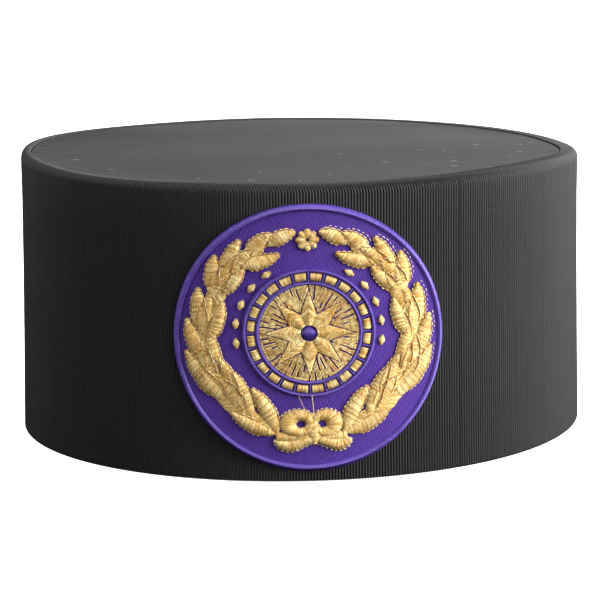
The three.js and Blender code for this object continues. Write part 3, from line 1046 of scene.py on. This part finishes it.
# Bow. A gold ribbon tied round the foot of the wreath in padded satin stitch: two round loops with a
# small hole each, two wavy tails, two stems that run into the branches, and a knot. Two loose threads
# above it were never trimmed.
bow_relief = 0.0012
bow_dash_width = 0.00028
even = ((0, 0.02, 0.98, 1), (0.6, 1, 1, 0.6))
loop_pitch = 1.35 * gold_pitch
loop_steps = (0, 0.12, 0.35, 0.65, 0.88, 1)
loop_hole_wander = 0.1
loop_rim_wander = 0.05
loop_lift = 0.00005
loops = [
    {"middle": (-0.092, -0.635), "size": (0.137, 0.108), "hole": (-0.071, -0.64), "gap": (0.036, 0.028)},
    {"middle": (0.115, -0.635), "size": (0.122, 0.108), "hole": (0.083, -0.64), "gap": (0.034, 0.028)},
]
tails = [
    [(0.014, -0.75), (-0.06, -0.77), (-0.13, -0.8), (-0.2, -0.8), (-0.27, -0.76)],
    [(0.036, -0.75), (0.11, -0.77), (0.18, -0.8), (0.24, -0.795), (0.295, -0.755)],
]
stems = [
    [(0.01, -0.745), (-0.09, -0.74), (-0.18, -0.74), (-0.25, -0.735)],
    [(0.04, -0.745), (0.13, -0.74), (0.2, -0.74), (0.26, -0.735)],
]
stem_half = 0.036 * patch_radius
stem_relief = 0.0008
tail_half = 0.048 * patch_radius
tail_outline = ((0, 0.25, 0.6, 0.85, 1), (0.7, 0.85, 1, 0.7, 0.15))
knot_ends = [(0.025, -0.8), (0.025, -0.6)]
knot_half = 0.055 * patch_radius
knot_relief = 1.15 * bow_relief
loose_width = 0.00018
loose_threads = [
    [(0.012, -0.42, 0.0006), (0.016, -0.47, 0.0013), (0.022, -0.53, 0.0013), (0.022, -0.59, 0.001)],
    [(-0.085, -0.42, 0.0006), (-0.065, -0.47, 0.0013), (-0.04, -0.52, 0.0013), (-0.01, -0.57, 0.001)],
]


def on_ground(spots):
    return np.full(len(spots), stitch_base)


bow_threads, bow_dashes = [], []
turns = np.radians(np.arange(0, 361, 5))
oval = np.stack([np.cos(turns), np.sin(turns)], axis=1)
for loop in loops:
    middle, size, hole, gap = (np.array(part) * patch_radius for part in loop.values())
    for place, along, share in walk(middle + size * oval, loop_pitch):
        turn = 2 * math.pi * share
        inner = hole + gap * (1 + jitter(loop_hole_wander)) * np.array([math.cos(turn), math.sin(turn)])
        outer = place + (place - inner) * jitter(loop_rim_wander)
        lift = jitter(loop_lift)
        rows = []
        for step in loop_steps:
            rise = bow_relief * (1 - abs(2 * step - 1) ** arch_power) + lift
            rows.append((*(inner + (outer - inner) * step), stitch_base + rise))
        bow_threads.append(rows)
    bow_dashes += running(middle + (size + edging_offset) * oval, on_ground)
for stem in stems:
    branch_end = smooth_path(np.array(stem) * patch_radius)
    bow_threads += satin(branch_end, even, stem_half, stem_relief)
for tail in tails:
    form = (smooth_path(np.array(tail) * patch_radius), tail_outline, tail_half)
    bow_threads += satin(*form, bow_relief)
    for edge in (-1, 1):
        bow_dashes += running(edge_path(*form, edge, edging_offset), on_ground)
knot = np.array(knot_ends) * patch_radius
bow_threads += satin(knot, leaf_outline, knot_half, knot_relief)
dress(sew("wreath_bow_threads", bow_threads, gold_width), gold_finish, "gold_thread", "wreath_bow")
dress(sew("wreath_bow_outline", bow_dashes, bow_dash_width), bright_finish, "gold_thread", "wreath_bow")
ends = [
    [(across * patch_radius, up * patch_radius, stitch_base + lift) for across, up, lift in thread]
    for thread in loose_threads
]
dress(sew("loose_threads", ends, loose_width), gold_finish, "gold_thread")

# Medallion. A rayed gold field of long radial stitches with purple gaps, an eight-pointed star on it in
# two directions of satin, so that one side of each ray looks lighter, and a ring of gold blocks between
# two purple cords. A purple boss is sewn over the middle.
medallion_up = 0.045 * patch_radius
ring_outer = 0.455 * patch_radius
ring_inner = 0.385 * patch_radius
block_count = 24
block_share = 0.7
block_relief = 0.0006
block_inset = 0.0003
block_steps = 9
cord_half = 0.00055
cord_relief = 0.0006
cord_slant = 0.5
cord_steps = 181
bar_half = 0.00035
bar_relief = 0.0004
field_outer = 0.36 * patch_radius
field_relief = 0.0004
field_width = 0.00038
field_pitch = 0.00046
field_step = 0.0021
field_overlap = 1.08
field_gaps = 48
field_gap_share = 0.12
field_margin = 0.0004
field_clearance = 0.0006
field_shortest = 0.0006
field_lift = 0.00005
field_wander = 0.00015
field_sag = 0.00012
field_arch = 0.0001
star_points = 8
star_outer = 0.315 * patch_radius
star_inner = 0.15 * patch_radius
star_hole = 0.062 * patch_radius
star_relief = 0.0009
star_fall = 0.45
star_foot = 0.0003
star_swell = 0.0001
star_turn = 1.9
star_pitch = 0.00036
boss_radius = 0.05 * patch_radius
boss_relief = 0.0009
round_outline = ((0, 0.08, 0.25, 0.5, 0.75, 0.92, 1), (0.3, 0.55, 0.87, 1, 0.87, 0.55, 0.3))
medallion = np.array([0, medallion_up])


def spoke(angle, radius):
    return medallion + radius * np.array([math.sin(angle), math.cos(angle)])


blocks = []
for number in range(block_count):
    middle = 2 * math.pi * (number + 0.5) / block_count
    half_turn = math.pi / block_count * block_share
    turns = np.linspace(middle - half_turn, middle + half_turn, block_steps)
    arc = np.array([spoke(turn, (ring_outer + ring_inner) / 2) for turn in turns])
    half = (ring_outer - ring_inner) / 2 - block_inset
    blocks += satin(arc, even, half, block_relief)
dress(sew("ring_blocks", blocks, gold_width), gold_finish, "gold_thread", "ring_band")

cords = []
for radius in (ring_inner - cord_half, ring_outer + cord_half):
    circle = np.array([spoke(turn, radius) for turn in np.linspace(0, 2 * math.pi, cord_steps)])
    cords += satin(circle, even, cord_half, cord_relief, slant=cord_slant)
for number in range(block_count):
    turn = 2 * math.pi * number / block_count
    bar = np.array([spoke(turn, ring_inner), spoke(turn, ring_outer)])
    cords += satin(bar, even, bar_half, bar_relief)
dress(sew("ring_cords", cords, gold_width), purple_finish, "purple_thread", "ring_band")


def star_edge(turn):
    """Radius of the star's outline at an angle from one of its points."""
    step = math.pi / star_points
    off = abs((turn + step) % (2 * step) - step)
    tip = np.array([star_outer, 0])
    valley = star_inner * np.array([math.cos(step), math.sin(step)])
    way = np.array([math.cos(off), math.sin(off)])
    side = valley - tip
    return (tip[0] * side[1] - tip[1] * side[0]) / (way[0] * side[1] - way[1] * side[0])


rays = []
radius = star_inner
row = 0
while radius < field_outer - field_margin:
    count = int(2 * math.pi * (radius + field_step) / field_pitch)
    for number in range(count):
        turn = 2 * math.pi * (number + 0.5 * (row % 2)) / count
        if (turn * field_gaps / (2 * math.pi)) % 1 < field_gap_share:
            continue
        start = max(radius, star_edge(turn) + field_clearance)
        end = min(radius + field_step * field_overlap, field_outer)
        if end - start < field_shortest:
            continue
        height = stitch_base + field_relief / 2 + jitter(field_lift)
        first, last = spoke(turn, start + jitter(field_wander)), spoke(turn, end)
        middle = (first + last) / 2
        low = height - field_sag
        rays.append([(*first, low), (*middle, height + field_arch), (*last, low)])
    radius += field_step
    row += 1
dress(sew("ray_field_threads", rays, field_width), gold_finish, "gold_thread", "ray_field")

facet_count = int((star_outer - star_hole) / star_pitch)
for name, hand in (("light", 1), ("dark", -1)):
    facets = []
    for number in range(star_points):
        turn = 2 * math.pi * number / star_points
        valley_turn = turn + hand * math.pi / star_points
        valley, hollow = spoke(valley_turn, star_inner), spoke(valley_turn, star_hole)
        tip, foot = spoke(turn, star_outer), spoke(turn, star_hole)
        for step in range(facet_count):
            share = (step + 0.5) / facet_count
            ridge = foot + (tip - foot) * share
            edge = hollow + (valley - hollow) * star_turn * share
            if star_turn * share > 1:
                edge = valley + (tip - valley) * (star_turn * share - 1) / (star_turn - 1)
            high = stitch_base + star_relief * (1 - star_fall * share)
            low = stitch_base + star_foot
            facets.append([
                (*ridge, high),
                (*((ridge + edge) / 2), (high + low) / 2 + star_swell),
                (*edge, low),
            ])
    dress(sew(f"star_{name}_side", facets, gold_width), gold_finish, "gold_thread", "star")

boss_path = np.array([medallion - (boss_radius, 0), medallion + (boss_radius, 0)])
boss = satin(boss_path, round_outline, boss_radius, boss_relief)
dress(sew("star_boss_threads", boss, gold_width), purple_finish, "purple_thread", "star_boss")

# Lozenges and rosette. Five small gold diamonds stand on each side of the medallion, and a rosette of
# eight petals closes the wreath at the top.
lozenge_count = 5
lozenge_reach = 0.53 * patch_radius
lozenge_first = 82
lozenge_last = 146
lozenge_long = 0.046 * patch_radius
lozenge_short = 0.026 * patch_radius
lozenge_relief = 0.0005
lozenge_outline = ((0, 0.5, 1), (0.1, 1, 0.1))
rosette_middle = np.array([0, 0.74 * patch_radius])
petal_count = 8
petal_foot = 0.012 * patch_radius
petal_tip = 0.09 * patch_radius
petal_half = 0.03 * patch_radius
petal_relief = 0.0008
for side, name in ((-1, "left"), (1, "right")):
    for number in range(lozenge_count):
        degrees = lozenge_first + (lozenge_last - lozenge_first) * number / (lozenge_count - 1)
        angle = side * math.radians(degrees)
        middle = np.array(around(lozenge_reach, angle)) + medallion
        along = side * np.array([math.cos(angle), math.sin(angle)])
        path = np.array([middle - along * lozenge_long, middle + along * lozenge_long])
        diamond = satin(path, lozenge_outline, lozenge_short, lozenge_relief)
        node = f"lozenge_{name}_{number + 1}"
        dress(sew(f"{node}_threads", diamond, gold_width), gold_finish, "gold_thread", node)

petals = []
for number in range(petal_count):
    turn = 2 * math.pi * number / petal_count
    way = np.array([math.sin(turn), math.cos(turn)])
    path = np.array([rosette_middle + way * petal_foot, rosette_middle + way * petal_tip])
    petals += satin(path, leaf_outline, petal_half, petal_relief)
dress(sew("top_rosette_threads", petals, gold_width), gold_finish, "gold_thread", "top_rosette")
